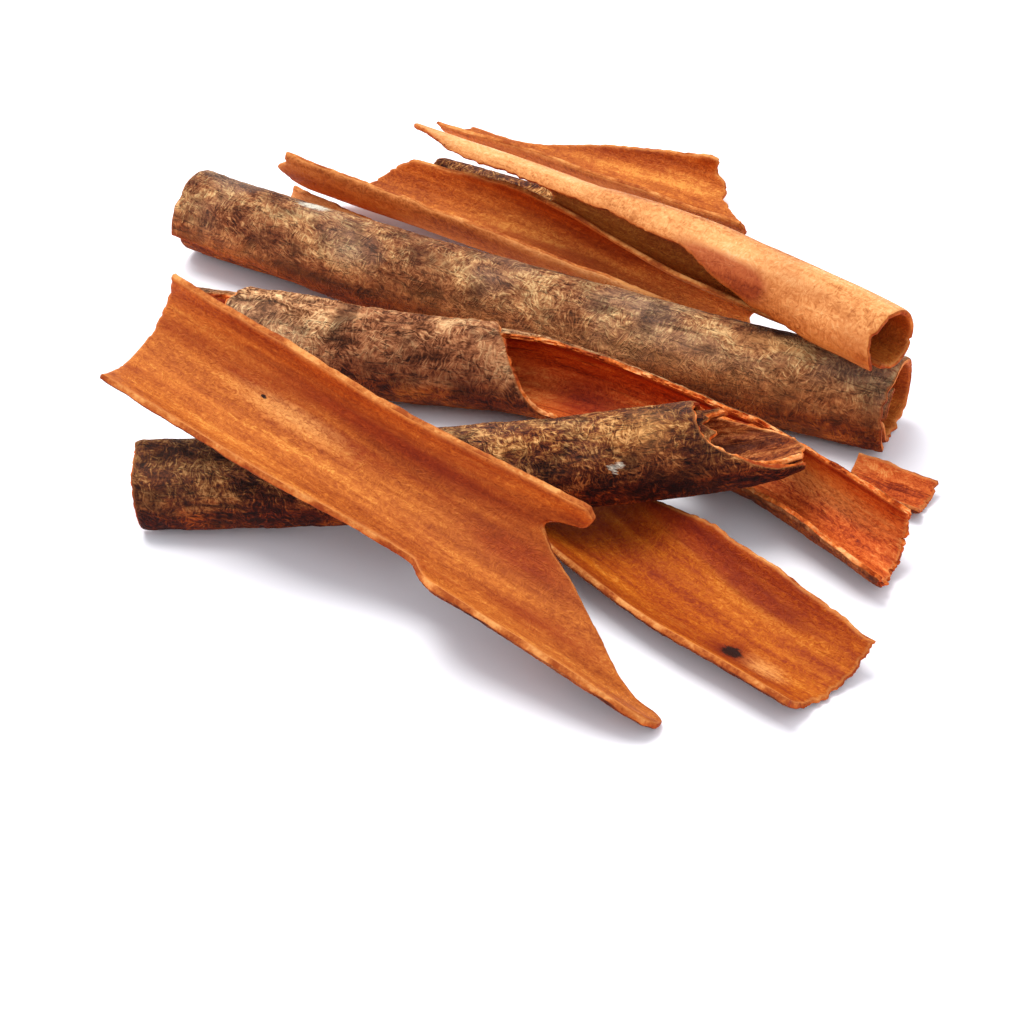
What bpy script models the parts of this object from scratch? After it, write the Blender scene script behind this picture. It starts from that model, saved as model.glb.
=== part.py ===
"""A loose heap of eleven pieces of thick cinnamon bark.

Three are rolled quills, one of them split open for half its length, and the rest are troughs, strips and
chips that curled as they dried. Each piece is one sheet of bark: a straight or bowed centre line, with the
sheet bent round it at a radius, between a near lip and a far lip, and torn off unevenly at its ends.

+Z is up, and the heap is looked at from -Y. The origin lies on the table, under the middle of the heap.
Sizes are in millimetres until a mesh is made. Angles round a centre line are in degrees: 0 is the side
away from the viewer, 90 the top, 180 the side that faces the viewer, and 270 the underside.
"""

from dataclasses import dataclass

import bmesh
import bpy
import numpy as np

MM = 0.001

# The bark is 1.5 to 2.2 mm thick, and a rolled layer leaves 0.6 mm free over the layer below it.
THIN_BARK = 1.5
PEELED_BARK = 1.7
BARK = 1.8
STOUT_BARK = 1.9
THICK_BARK = 2.2
LAYER_GAP = 0.6

# Bark isn't evenly round: two slow ripples swell and pinch each piece by this much.
RIPPLE = 0.25
SMALL_RIPPLE = 0.15

ROUGHNESS = 0.85


@dataclass
class Bark:
    """One piece. A profile is a number, or (place, value) pairs with the place from 0 to 1.

    start and end are the ends of the centre line, and bow carries its middle sideways, away from the viewer.
    radius, near, far and sway are profiles along the piece: the radius in mm, the two lips' angles, and
    a further sideways shift in mm. start_cut and end_cut are profiles across the piece, from the near lip to
    the far lip: how much of each end is torn off, in mm. step is how far the sheet spirals out in a full
    turn, and the radius is exact at the angle step_from. cells are the grid's divisions, along and across.
    """

    name: str
    colour: str
    thick: float
    start: tuple
    end: tuple
    radius: object
    near: object
    far: object
    phase: float
    cells: tuple
    bow: float = 0
    sway: object = 0
    step: float = 0
    step_from: float = 270
    start_cut: object = 0
    end_cut: object = 0


# Long closed quill at the back. Its sheet goes round once and a third, and its lips lie out of sight.
big_quill = Bark(
    "big_quill",
    "#7a5a3c",
    BARK,
    start=(-82.8, 61.9, 10.3),
    end=(84.2, -17.6, 10.4),
    bow=-3.8,
    radius=10.3,
    near=120,
    far=[(0, 545), (0.15, 552), (0.35, 575), (1, 590)],
    step=BARK + LAYER_GAP,
    step_from=450,
    phase=1,
    cells=(12, 26),
)

# Quill in front of it: rolled on the left, and broken open into a channel on the right.
split_quill = Bark(
    "split_quill",
    "#5f4028",
    STOUT_BARK,
    start=(-82.1, 14.3, 10.7),
    end=(78.1, -67.6, 11.2),
    sway=[(0, 0), (0.25, 8.9), (0.5, 19.8), (0.75, 15.9), (1, 0)],
    radius=[(0, 9.2), (0.33, 9.35), (0.67, 8.4), (1, 8.6)],
    near=[
        (0, 70), (0.412, 76), (0.43, 98), (0.465, 148), (0.508, 200), (0.56, 203), (0.75, 186), (0.9, 186),
        (1, 194),
    ],
    far=[(0, 445), (0.4, 440), (0.5, 420), (0.75, 398), (1, 391)],
    step=-2.7,
    start_cut=[(0, 16), (0.25, 14), (0.6, 3), (1, 0)],
    phase=2,
    cells=(28, 16),
)  # fmt: skip

# Dark quill that lies across the split one. It is rolled one and a half times, and its right end is torn.
dark_quill = Bark(
    "dark_quill",
    "#4b2f1e",
    BARK,
    start=(-85.3, -43.7, 8.5),
    end=(60.4, -41.9, 21.5),
    bow=-3.8,
    radius=[(0, 9.7), (0.5, 9.9), (0.88, 9.9), (0.95, 9.1), (1, 7.3)],
    near=30,
    far=590,
    step=BARK + LAYER_GAP,
    step_from=590,
    end_cut=[
        (0, 16), (0.1, 20), (0.2, 18), (0.27, 13), (0.32, 7), (0.357, 2), (0.393, 0.3), (0.437, 0),
        (0.482, 1.5), (0.509, 3.5), (0.541, 8), (0.566, 12.5), (0.593, 18), (0.618, 21.5), (0.66, 23.5),
        (0.739, 24), (0.796, 23), (0.839, 21), (0.862, 18), (0.885, 14.5), (0.906, 11.5), (0.926, 8),
        (0.945, 3.5), (0.965, 1), (1, 0.5),
    ],
    phase=3,
    cells=(16, 38),
)  # fmt: skip

# Broad trough in front. It leans on the dark quill. Its torn end has a prong, a notch and a long tongue.
front_strip = Bark(
    "front_strip",
    "#b5652c",
    THICK_BARK,
    start=(-85.0, -33.0, 46.4),
    end=(34.0, -105.8, 18.6),
    bow=-1.5,
    radius=[(0, 15), (0.33, 15.2), (0.67, 16.5), (1, 20)],
    near=[
        (0, 232), (0.3, 234), (0.48, 249), (0.555, 251), (0.6, 231), (0.64, 217), (0.8, 214), (0.92, 217),
        (1, 229),
    ],
    far=[(0, 365), (0.5, 365), (1, 362)],
    end_cut=[
        (0, 2.5), (0.05, 0.3), (0.1, 0), (0.15, 1.5), (0.2, 5.5), (0.26, 9.5), (0.4, 18), (0.6, 32),
        (0.74, 42), (0.79, 43.5), (0.84, 41.5), (0.88, 36), (0.95, 34), (1, 36),
    ],
    phase=4,
    cells=(28, 16),
)  # fmt: skip

# Shallow strip on the table at the right. Its hidden left end tapers to pass under the dark quill.
right_strip = Bark(
    "right_strip",
    "#b8682e",
    STOUT_BARK,
    start=(0.6, -32.7, 21.0),
    end=(64.7, -106.3, 17.3),
    end_cut=4.2,
    bow=-4.2,
    radius=[(0, 20), (1, 16)],
    near=[(0, 240), (0.2, 226), (0.35, 217), (1, 217)],
    far=[(0, 300), (0.2, 312), (0.35, 323), (0.5, 332), (0.65, 333), (1, 325)],
    phase=5,
    cells=(14, 10),
)

# Peeled trough behind the big quill, tipped up at the left, where it lies on the low strip.
back_trough = Bark(
    "back_trough",
    "#b9733d",
    BARK,
    start=(-60.6, 87.9, 16.0),
    end=(55.9, 16.5, 7.6),
    bow=2.0,
    radius=[(0, 10.4), (0.5, 8.8), (1, 7)],
    near=[(0, 165), (0.5, 168), (1, 165)],
    far=[(0, 352), (0.24, 357), (0.33, 368), (0.42, 380), (0.5, 386), (0.6, 382), (0.75, 372), (1, 370)],
    start_cut=[(0, 6), (0.15, 4), (0.4, 10), (0.7, 22), (0.85, 26), (1, 31)],
    end_cut=5,
    phase=6,
    cells=(16, 13),
)

# Peeled strip on top of the big quill: a narrow fold at the left that opens into a tube at the right.
top_strip = Bark(
    "top_strip",
    "#c2844c",
    THIN_BARK,
    start=(-29.2, 87.6, 15.4),
    end=(80.8, -21.4, 30.2),
    sway=[(0, 0), (0.33, 2.9), (0.48, 2.6), (0.62, 2.0), (0.75, 2.0), (0.9, 1.4), (1, 0.2)],
    radius=[(0, 2.2), (0.33, 3.3), (0.48, 5.2), (0.62, 6.4), (0.75, 6.2), (1, 6.0)],
    near=-142,
    far=[(0, 150), (0.5, 140), (0.61, 140), (0.69, 165), (0.78, 190), (0.89, 205), (1, 210)],
    step=2.2,
    step_from=-142,
    start_cut=[(0, 48), (0.3, 46), (0.5, 20), (0.62, 2), (0.68, 0), (0.8, 5), (1, 16)],
    phase=7,
    cells=(20, 16),
)

# Peeled trough at the very back, which widens to the right.
rear_trough = Bark(
    "rear_trough",
    "#b9763f",
    PEELED_BARK,
    start=(-23.8, 118.1, 7.4),
    end=(59.7, 66.0, 11.3),
    bow=1.2,
    radius=[(0, 6), (0.5, 8.3), (1, 10.5)],
    near=190,
    far=[(0, 290), (0.25, 297), (0.5, 340), (0.75, 364), (0.9, 385), (1, 398)],
    start_cut=[(0, 5), (0.5, 7), (1, 10)],
    end_cut=[(0, 0), (0.1, 0), (0.2, 5), (0.3, 4.5), (0.4, 5.5), (0.5, 11), (0.6, 14), (0.8, 17), (1, 20)],
    phase=8,
    cells=(16, 11),
)

# Thin half-open stick under the top strip. Only a little of it shows.
under_quill = Bark(
    "under_quill",
    "#5b4636",
    PEELED_BARK,
    start=(-23.0, 88.2, 3.7),
    end=(62.3, 42.7, 3.5),
    radius=4.6,
    near=-40,
    far=220,
    phase=9,
    cells=(12, 11),
)

# Short strip on the table at the left, under the raised end of the back trough.
low_strip = Bark(
    "low_strip",
    "#a9794a",
    PEELED_BARK,
    start=(-62.9, 76.3, 7.1),
    end=(-35.9, 55.4, 7.0),
    radius=6,
    near=205,
    far=345,
    phase=10,
    cells=(8, 7),
)

# Chip on the table at the far right.
right_chip = Bark(
    "right_chip",
    "#7c3f22",
    PEELED_BARK,
    start=(72.3, -33.2, 8.3),
    end=(88.8, -42.9, 7.9),
    radius=7,
    near=215,
    far=330,
    phase=11,
    cells=(6, 7),
)

HEAP = (
    big_quill,
    split_quill,
    dark_quill,
    front_strip,
    right_strip,
    back_trough,
    top_strip,
    rear_trough,
    under_quill,
    low_strip,
    right_chip,
)


def read_profile(profile, place):
    """A smooth curve through the profile's pairs, read at each place.

    It is a cubic between each two pairs. Its slope at a pair is the harmonic mean of the slopes on both
    sides, or 0 where they differ in sign, so the curve never swings past the values that it goes through.
    """
    if np.isscalar(profile):
        return np.full(place.shape, float(profile))
    at, value = np.array(profile, float).T
    gap = np.diff(at)
    rise = np.diff(value) / gap
    before, after = rise[:-1], rise[1:]
    same_way = before * after > 0
    mean = 2 * before * after / np.where(same_way, before + after, 1)
    slope = np.concatenate([rise[:1], np.where(same_way, mean, 0), rise[-1:]])
    i = np.clip(np.searchsorted(at, place, side="right") - 1, 0, len(gap) - 1)
    t = (place - at[i]) / gap[i]
    start_share = (1 + 2 * t) * (1 - t) ** 2
    end_share = t**2 * (3 - 2 * t)
    bend = t * (1 - t) ** 2 * slope[i] - t**2 * (1 - t) * slope[i + 1]
    return start_share * value[i] + end_share * value[i + 1] + bend * gap[i]


def length_of(piece):
    return np.linalg.norm(np.subtract(piece.end, piece.start))


def middle_of_bark(piece, along, across):
    """Points halfway through the bark, in mm from the centre line's start: x along it, y sideways, z up.

    along runs from 0 at the torn start to 1 at the torn end, and across from 0 at the near lip to 1 at the
    far lip. The angle slides from lip to lip, and the radius grows with the angle by step a turn.
    """
    length = length_of(piece)
    first = read_profile(piece.start_cut, across)
    last = length - read_profile(piece.end_cut, across)
    x = first + (last - first) * along
    u = x / length
    near = read_profile(piece.near, u)
    far = read_profile(piece.far, u)
    angle = near + (far - near) * across
    turn = np.radians(angle)
    radius = read_profile(piece.radius, u) + piece.step * (angle - piece.step_from) / 360
    radius += RIPPLE * np.sin(9 * u + 1.7 * piece.phase + 2 * turn)
    radius += SMALL_RIPPLE * np.sin(17 * u + piece.phase + 3 * turn)
    sideways = piece.bow * 4 * u * (1 - u) + read_profile(piece.sway, u)
    return np.stack([x, radius * np.cos(turn) + sideways, radius * np.sin(turn)], axis=1)


def bent_sheet(piece):
    """A flat grid, a unit long and wide, bent into the middle surface of the bark."""
    grid = bmesh.new()
    bmesh.ops.create_grid(grid, x_segments=piece.cells[0], y_segments=piece.cells[1], size=0.5)
    mesh = bpy.data.meshes.new(piece.name)
    grid.to_mesh(mesh)
    grid.free()
    flat = np.empty(len(mesh.vertices) * 3)
    mesh.vertices.foreach_get("co", flat)
    along, across, _ = flat.reshape(-1, 3).T + 0.5
    mesh.vertices.foreach_set("co", middle_of_bark(piece, along, across).ravel() * MM)
    mesh.shade_smooth()
    mesh.update()
    return mesh


def linear(colour):
    """The linear RGBA of a colour written as #rrggbb in sRGB."""
    shares = [int(colour[i : i + 2], 16) / 255 for i in (1, 3, 5)]
    return [s / 12.92 if s <= 0.04045 else ((s + 0.055) / 1.055) ** 2.4 for s in shares] + [1]


def bark_material(piece):
    material = bpy.data.materials.new(piece.name + " bark")
    material.use_nodes = True
    shader = material.node_tree.nodes["Principled BSDF"]
    shader.inputs["Base Color"].default_value = linear(piece.colour)
    shader.inputs["Roughness"].default_value = ROUGHNESS
    shader.inputs["Metallic"].default_value = 0
    material.diffuse_color = linear(piece.colour)
    return material


def add_piece(piece, collection):
    """The piece at its start point, turned and tipped to run towards its end point."""
    mesh = bent_sheet(piece)
    mesh.materials.append(bark_material(piece))
    obj = bpy.data.objects.new(piece.name, mesh)
    collection.objects.link(obj)
    run = np.subtract(piece.end, piece.start) / length_of(piece)
    obj.location = np.multiply(piece.start, MM)
    obj.rotation_euler = (0, -np.arcsin(run[2]), np.arctan2(run[1], run[0]))
    thickness = obj.modifiers.new("Bark thickness", "SOLIDIFY")
    thickness.thickness = piece.thick * MM
    thickness.offset = 0


def clear_scene():
    for obj in list(bpy.data.objects):
        bpy.data.objects.remove(obj)


def main():
    clear_scene()
    collection = bpy.data.collections.new("Stack of cinnamon sticks")
    bpy.context.scene.collection.children.link(collection)
    for piece in HEAP:
        add_piece(piece, collection)


main()
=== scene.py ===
# %% [markdown]
# A heap of thick cinnamon bark on a white table.
#
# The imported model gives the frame: eleven plain pieces of bark, each where it lies in the heap. This script
# makes the same pieces again with a fine grid, so that they can have rough outer bark, grained inner bark
# and ragged torn rims, and puts each in the place of its plain one. Lengths are in millimetres until a mesh
# is made.

# %% Load the frame
import math
from dataclasses import dataclass

import bpy
import numpy as np
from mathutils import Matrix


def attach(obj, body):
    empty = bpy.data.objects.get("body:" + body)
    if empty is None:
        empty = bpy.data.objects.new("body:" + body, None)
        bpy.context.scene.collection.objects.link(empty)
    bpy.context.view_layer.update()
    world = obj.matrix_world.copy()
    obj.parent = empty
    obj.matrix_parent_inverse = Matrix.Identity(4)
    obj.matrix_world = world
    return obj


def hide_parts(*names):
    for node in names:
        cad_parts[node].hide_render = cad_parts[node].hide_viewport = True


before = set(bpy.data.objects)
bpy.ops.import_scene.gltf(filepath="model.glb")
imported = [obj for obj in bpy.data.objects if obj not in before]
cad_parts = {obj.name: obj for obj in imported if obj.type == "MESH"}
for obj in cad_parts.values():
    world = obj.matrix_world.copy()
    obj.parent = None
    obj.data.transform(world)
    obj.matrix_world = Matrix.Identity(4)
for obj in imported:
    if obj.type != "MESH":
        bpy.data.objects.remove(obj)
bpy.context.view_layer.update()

MM = 0.001
print("frame nodes:", sorted(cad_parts))

# %% [markdown]
# Bark is one sheet. It peels off the tree flat and curls as it dries, so every piece here is the same
# surface with other numbers: walk along a centre line, and at each step bend the sheet round it at a
# radius, from the angle of the near lip to the angle of the far lip. A radius that grows with the angle
# makes a spiral, and so a rolled quill. Sculpting each piece by hand would give one good heap, while a
# formula gives pieces that can be checked against each other and made at any fineness.
#
# Angles are in degrees round the centre line: 0 is the side away from the viewer, 90 the top, 180 the side
# that faces the viewer, and 270 the underside. A profile is a number, or (place, value) pairs with the
# place from 0 to 1.


# %% What describes a piece
@dataclass
class Sheet:
    """start and end are the ends of the centre line, and bow carries its middle away from the viewer.

    radius, near, far and sway are profiles along the piece: its radius, its two lips' angles, and a further
    sideways shift. start_cut and end_cut are profiles across it, from lip to lip: how much is torn off each
    end. step is how far the sheet spirals out in a turn, and the radius is exact at the angle step_from.
    ragged is how rough the torn ends and the lips are, and fuzz how far rim fibres stand out, in mm. grid is
    the spacing of the mesh. marks are (kind, mm along, angle, length, width) of knots, spots and stains.
    """

    name: str
    thick: float
    start: tuple
    end: tuple
    radius: object
    near: object
    far: object
    phase: float
    bow: float = 0
    sway: object = 0
    step: float = 0
    step_from: float = 270
    start_cut: object = 0
    end_cut: object = 0
    ragged: tuple = (0.9, 0.3)
    fuzz: float = 0.1
    grid: float = 0.6
    marks: tuple = ()


print("a sheet has", len(Sheet.__dataclass_fields__), "numbers and profiles")


# %% Read a profile
def read_profile(profile, place):
    """A smooth curve through the pairs: a cubic between each two, level where the slope changes sign.

    The slope at a pair is the harmonic mean of the slopes on both sides, 2ab / (a + b).
    """
    if np.isscalar(profile):
        return np.full(place.shape, float(profile))
    at, value = np.array(profile, float).T
    gap = np.diff(at)
    rise = np.diff(value) / gap
    before, after = rise[:-1], rise[1:]
    same_way = before * after > 0
    mean = 2 * before * after / np.where(same_way, before + after, 1)
    slope = np.concatenate([rise[:1], np.where(same_way, mean, 0), rise[-1:]])
    i = np.clip(np.searchsorted(at, place, side="right") - 1, 0, len(gap) - 1)
    t = (place - at[i]) / gap[i]
    start_share = (1 + 2 * t) * (1 - t) ** 2
    end_share = t**2 * (3 - 2 * t)
    bend = t * (1 - t) ** 2 * slope[i] - t**2 * (1 - t) * slope[i + 1]
    return start_share * value[i] + end_share * value[i + 1] + bend * gap[i]


print("halfway between 2 and 4:", read_profile([(0, 2), (1, 4)], np.array([0.5])))

# %% [markdown]
# Rough surfaces need noise that is the same on each run. Lattice noise is the simplest kind: random values
# on the corners of a grid of cells, with a smooth slide from corner to corner. Long cells give grain, and
# square ones give lumps. A crack is the thin line where such a noise passes through zero.


# %% Noise for relief and for ragged rims
def lattice_noise(x, y, cell_x, cell_y, seed):
    """Values from -1 to 1: random numbers at the corners of cells, blended by 3t^2 - 2t^3 inside a cell."""
    x, y = x / cell_x, y / cell_y
    left, low = np.floor(x.min()), np.floor(y.min())
    columns, rows = int(x.max() - left) + 3, int(y.max() - low) + 3
    corners = np.random.default_rng(seed).uniform(-1, 1, (columns, rows))
    i, j = np.floor(x - left).astype(int), np.floor(y - low).astype(int)
    s, t = x - left - i, y - low - j
    s, t = s * s * (3 - 2 * s), t * t * (3 - 2 * t)
    near_side = corners[i, j] * (1 - s) + corners[i + 1, j] * s
    far_side = corners[i, j + 1] * (1 - s) + corners[i + 1, j + 1] * s
    return near_side * (1 - t) + far_side * t


def crack_lines(x, y, cell_x, cell_y, seed, width=0.08):
    """1 on the lines where the noise is 0, falling off as a bell curve of that width in noise."""
    return np.exp(-((lattice_noise(x, y, cell_x, cell_y, seed) / width) ** 2))


def torn_line(run, splinter, fibre, fibre_share, seed):
    """Noise along a line: splinters so many mm apart, plus fibre_share times a noise of finer fibres."""
    flat = np.zeros(run.shape)
    coarse = lattice_noise(run, flat, splinter, 1, seed)
    return coarse + fibre_share * lattice_noise(run, flat, fibre, 1, seed + 1)


print("noise at one place:", lattice_noise(np.array([3.3]), np.array([1.2]), 2, 2, 7))

# %% [markdown]
# A torn end isn't cut square. It is the end_cut profile, which holds the prongs and notches that the real
# piece has, plus noise in two sizes: splinters about 4 mm apart, and fibres about 1 mm apart. The lips
# split along the grain, so they are much smoother.

# %% The surface of a sheet
RIPPLE = 0.25
SMALL_RIPPLE = 0.15
# Splinters are spaced as on a sheet this many mm wide, so a narrow sheet has finer ones.
MIDDLING_WIDTH = 16 * math.pi
# Millimetres turn to degrees on at least this radius, so a pointed end doesn't fly open.
LEAST_RADIUS = 2


def lay_sheet(p, s, w):
    """Points of the sheet's middle surface, and at each: mm along, angle, mm round and mm to the nearest rim.

    x = first + (last - first) s, angle = near + (far - near) w, and radius = profile + step (angle -
    step_from) / 360 + ripples. The point is start + x t + (radius cos angle + shifts) side + radius sin
    angle up, where t is the centre line's direction, side is level, and up is square to both.
    """
    start, end = np.array(p.start, float), np.array(p.end, float)
    length = np.linalg.norm(end - start)
    t = (end - start) / length
    side = np.cross([0, 0, 1], t)
    side /= np.linalg.norm(side)
    up = np.cross(t, side)
    seed = int(p.phase * 100)
    end_rough, lip_rough = read_profile(p.ragged[0], w), p.ragged[1]
    width = MIDDLING_WIDTH * w
    torn = torn_line(width, 4, 1.1, 0.6, seed)
    torn_end = torn_line(width, 3.4, 1, 0.6, seed + 2)
    first = np.maximum(read_profile(p.start_cut, w) + end_rough * torn, 0)
    last = length - np.maximum(read_profile(p.end_cut, w) + end_rough * torn_end, 0)
    x = first + (last - first) * s
    u = x / length
    nominal = read_profile(p.radius, u)
    to_angle = 180 / math.pi / np.maximum(nominal, LEAST_RADIUS)
    near_lip = torn_line(x, 7, 1.6, 0.5, seed + 4)
    far_lip = torn_line(x, 6, 1.4, 0.5, seed + 6)
    near = read_profile(p.near, u) + lip_rough * (1 + near_lip) * to_angle
    far = read_profile(p.far, u) - lip_rough * (1 + far_lip) * to_angle
    angle = near + (far - near) * w
    turn = np.radians(angle)
    radius = nominal + p.step * (angle - p.step_from) / 360
    radius += RIPPLE * np.sin(9 * u + 1.7 * p.phase + 2 * turn)
    radius += SMALL_RIPPLE * np.sin(17 * u + p.phase + 3 * turn)
    sideways = radius * np.cos(turn) + p.bow * 4 * u * (1 - u) + read_profile(p.sway, u)
    points = start + x[..., None] * t + sideways[..., None] * side + (radius * np.sin(turn))[..., None] * up
    to_end = np.minimum(x - first, last - x)
    to_lip = np.minimum(angle - near, far - angle) / to_angle
    return points, x, angle, np.mean(nominal) * turn, np.minimum(to_end, to_lip)


def outward(points):
    """Unit normals that point away from the centre line: the step across, crossed with the step along."""
    normal = np.cross(np.gradient(points, axis=1), np.gradient(points, axis=0))
    return normal / np.maximum(np.linalg.norm(normal, axis=-1, keepdims=True), 1e-12)


print("splinters are spaced as on", round(MIDDLING_WIDTH, 1), "mm of bark")

# %% [markdown]
# The relief has to stay under the 0.6 mm that a rolled layer leaves free. Outer bark has lumps of 6 mm,
# 2 mm and 1 mm and cracks along the stick. Inner bark is nearly smooth, with fine ridges along the grain.
# Peeled bark is outer bark with its cork rubbed off, and lies between the two.

# %% Relief of the faces, in mm
FRAYED_FROM = 118
FRAYING_TAKES = 6


def rough_bark(x, round_mm, seed):
    """Sum of three lattice noises, less cracks that come and go along their length."""
    lumps = 0.15 * lattice_noise(x, round_mm, 6, 4, seed)
    lumps += 0.1 * lattice_noise(x, round_mm, 2.2, 1.7, seed + 1)
    grit = 0.05 * lattice_noise(x, round_mm, 0.9, 0.8, seed + 2)
    split = crack_lines(x, round_mm, 17, 2.8, seed + 3)
    split *= 0.5 + 0.5 * lattice_noise(x, round_mm, 9, 5, seed + 4)
    rings = crack_lines(x, round_mm, 3.5, 14, seed + 5)
    rings *= 0.5 + 0.5 * lattice_noise(x, round_mm, 12, 7, seed + 6)
    return lumps + grit - 0.2 * split - 0.1 * rings - 0.1


def grained_bark(x, round_mm, seed):
    """Broad waves, and ridges twelve times as long as they are wide."""
    waves = 0.12 * lattice_noise(x, round_mm, 22, 5, seed)
    ridges = 0.05 * lattice_noise(x, round_mm, 10, 0.8, seed + 1)
    return waves + ridges + 0.025 * lattice_noise(x, round_mm, 2.2, 0.6, seed + 2)


def peeled_bark(x, round_mm, seed):
    """Ridges along the grain with shallow chips where the cork came away."""
    chips = np.clip(lattice_noise(x, round_mm, 7, 2.4, seed + 3), 0, 1)
    return grained_bark(x, round_mm, seed) - 0.14 * chips


def frayed_bark(x, round_mm, seed):
    """Grained bark whose last 30 mm, from FRAYED_FROM on, are torn into lumps about 2 mm across."""
    torn = np.clip((x - FRAYED_FROM) / FRAYING_TAKES, 0, 1)
    lumps = 0.42 * lattice_noise(x, round_mm, 2.4, 1.5, seed + 7)
    lumps += 0.2 * lattice_noise(x, round_mm, 1, 0.8, seed + 8)
    return grained_bark(x, round_mm, seed) + torn * lumps


print("relief of rough bark at one place:", rough_bark(np.array([3.3]), np.array([1.2]), 7), "mm")

# %% [markdown]
# One mesh holds the outer face, the inner face, and a rim that joins them. The rim has rings of its own
# between the faces, pushed in and out a little, because torn bark shows its fibres there. Each point
# keeps numbers that the materials read: its place in mm along the grain, how deep in the bark it is, how
# far the nearest rim is, how high its relief is, and how strongly a knot or spot marks it.

# %% The two faces
LEAST_ACROSS = 8
RIM_THINNING = 0.35
THINS_WITHIN = 0.45
KINDS = ("pale", "dark", "gold", "red")


def mark_field(p, kind, x, angle, radius):
    """For each mark of the kind, a bell curve exp(-(dx / length)^2 - (da / width)^2), summed."""
    field = np.zeros(x.shape)
    for its_kind, at, at_angle, length, width in p.marks:
        if its_kind == kind:
            across = np.radians(angle - at_angle) * radius
            field += np.exp(-(((x - at) / length) ** 2) - (across / width) ** 2)
    return np.minimum(field, 1)


def lay_faces(p, outer_relief, inner_relief):
    """Outer and inner points: the middle surface +- (half the thickness + relief) normal.

    Half the thickness is less by RIM_THINNING exp(-(mm to the rim / THINS_WITHIN)^2). With the points come
    the numbers that the materials read, as pairs of one for the outer face and one for the inner.
    """
    places = np.linspace(0, 1, 9)
    widest = np.radians(np.max(read_profile(p.far, places) - read_profile(p.near, places)))
    radius = np.max(read_profile(p.radius, places))
    along = int(np.linalg.norm(np.subtract(p.end, p.start)) / p.grid)
    across = max(int(widest * radius / p.grid), LEAST_ACROSS)
    s, w = np.meshgrid(np.linspace(0, 1, along + 1), np.linspace(0, 1, across + 1), indexing="ij")
    middle, x, angle, round_mm, to_rim = lay_sheet(p, s, w)
    seed = int(p.phase * 1000)
    outer_height = outer_relief(x, round_mm, seed)
    inner_height = inner_relief(x, round_mm, seed + 50)
    half = p.thick / 2 * (1 - RIM_THINNING * np.exp(-((np.maximum(to_rim, 0) / THINS_WITHIN) ** 2)))
    normal = outward(middle)
    outer = middle + normal * (half + outer_height)[..., None]
    inner = middle - normal * (half + inner_height)[..., None]
    own_part_of_noise = np.full(x.shape, 37 * p.phase)
    grain = np.stack([x, round_mm, own_part_of_noise], axis=-1)
    marks = np.stack([mark_field(p, kind, x, angle, radius) for kind in KINDS], axis=-1)
    numbers = {"grain": (grain, grain), "to_rim": (to_rim, to_rim), "marks": (marks, marks)}
    numbers["height"] = (outer_height, inner_height)
    return outer, inner, numbers


print("kinds of mark:", KINDS)

# %% The rim between them
RIM_RINGS = 4
RIM_BULGE = 0.16
FIBRE_SPACING = 1.0
OUTER, INNER, RIM = 0, 1, 2


def loop_round(grid):
    """The indices on the border of a grid, once round."""
    return np.concatenate([grid[:-1, 0], grid[-1, :-1], grid[:0:-1, -1], grid[0, :0:-1]])


def rim_rings(p, outer_edge, inner_edge):
    """Ring k of n is outer edge (1 - k / (n + 1)) + inner edge k / (n + 1), pushed out by bulge and fibres.

    The bulge is RIM_BULGE sin(pi k / (n + 1)), and the fibres are a noise along the rim, times fuzz.
    """
    tangent = np.roll(outer_edge, -1, axis=0) - np.roll(outer_edge, 1, axis=0)
    out = np.cross(tangent, inner_edge - outer_edge)
    out /= np.maximum(np.linalg.norm(out, axis=1, keepdims=True), 1e-9)
    run = np.cumsum(np.linalg.norm(np.roll(outer_edge, -1, axis=0) - outer_edge, axis=1))
    rings = []
    for k in range(1, RIM_RINGS + 1):
        share = k / (RIM_RINGS + 1)
        fibres = lattice_noise(run, run * 0 + 1.3 * k, FIBRE_SPACING, 1, int(p.phase * 1000) + 90)
        push = p.fuzz * fibres + RIM_BULGE * math.sin(math.pi * share)
        rings.append(outer_edge * (1 - share) + inner_edge * share + out * push[:, None])
    return rings


def quads_of(grid, edge):
    """Corner indices: the outer grid's cells, the inner's turned over, and quads from ring to ring."""
    face = np.stack([grid[:-1, :-1], grid[:-1, 1:], grid[1:, 1:], grid[1:, :-1]], axis=-1).reshape(-1, 4)
    rings = [2 * grid.size + k * len(edge) + np.arange(len(edge)) for k in range(RIM_RINGS)]
    levels = [edge] + rings + [edge + grid.size]
    rim = [
        np.stack([a, np.roll(a, -1), np.roll(b, -1), b], axis=-1) for a, b in zip(levels[:-1], levels[1:])
    ]
    kinds = np.repeat([OUTER, INNER, RIM], [len(face), len(face), len(rim) * len(edge)])
    return np.concatenate([face, face[:, ::-1] + grid.size] + rim), kinds


print("border of a 3 by 3 grid:", loop_round(np.arange(9).reshape(3, 3)))

# %% The mesh of a piece
SMOOTH_UP_TO = math.radians(60)


def write_attribute(mesh, name, kind, values):
    """One number, vector or colour at each point of the mesh."""
    attribute = mesh.attributes.new(name, kind, "POINT")
    field = {"FLOAT_VECTOR": "vector", "FLOAT_COLOR": "color"}.get(kind, "value")
    attribute.data.foreach_set(field, np.asarray(values, np.float32).ravel())


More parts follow.
